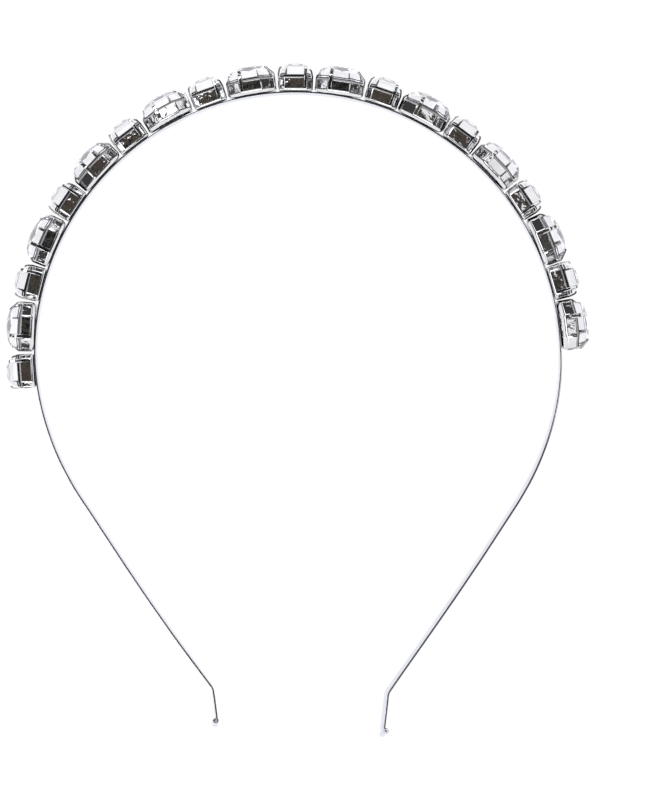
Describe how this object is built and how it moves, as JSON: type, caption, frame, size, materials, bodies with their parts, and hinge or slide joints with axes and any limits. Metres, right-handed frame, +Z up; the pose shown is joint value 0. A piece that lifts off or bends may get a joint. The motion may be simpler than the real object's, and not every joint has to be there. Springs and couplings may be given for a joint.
{
  "type": "crystal headband",
  "caption": "Thin silver-coloured metal headband with a row of claw-set cut crystals, large octagonal and small square ones in turn, and legs ending in rolled eyes.",
  "frame": {"origin": "middle of the whole headband's footprint as it lies on its side, on the surface that it rests on", "axes": "+Z up from that surface, along the width of the strip; +Y from the tips towards the top of the hoop; +X towards the end of the row that has a large crystal"},
  "size_m": [0.1396, 0.1606, 0.0121],
  "materials": {
    "plated_metal": "polished silver-coloured plating",
    "cut_crystal": "clear cut crystal with flat polished facets and a silvered back"
  },
  "bodies": {
    "root": {"band_and_settings": "plated_metal", "large_crystal_1": "cut_crystal", "large_crystal_2": "cut_crystal", "large_crystal_3": "cut_crystal", "large_crystal_4": "cut_crystal", "large_crystal_5": "cut_crystal", "large_crystal_6": "cut_crystal", "large_crystal_7": "cut_crystal", "large_crystal_8": "cut_crystal", "large_crystal_9": "cut_crystal", "large_crystal_10": "cut_crystal", "small_crystal_1": "cut_crystal", "small_crystal_2": "cut_crystal", "small_crystal_3": "cut_crystal", "small_crystal_4": "cut_crystal", "small_crystal_5": "cut_crystal", "small_crystal_6": "cut_crystal", "small_crystal_7": "cut_crystal", "small_crystal_8": "cut_crystal", "small_crystal_9": "cut_crystal", "small_crystal_10": "cut_crystal"}
  },
  "joints": []
}
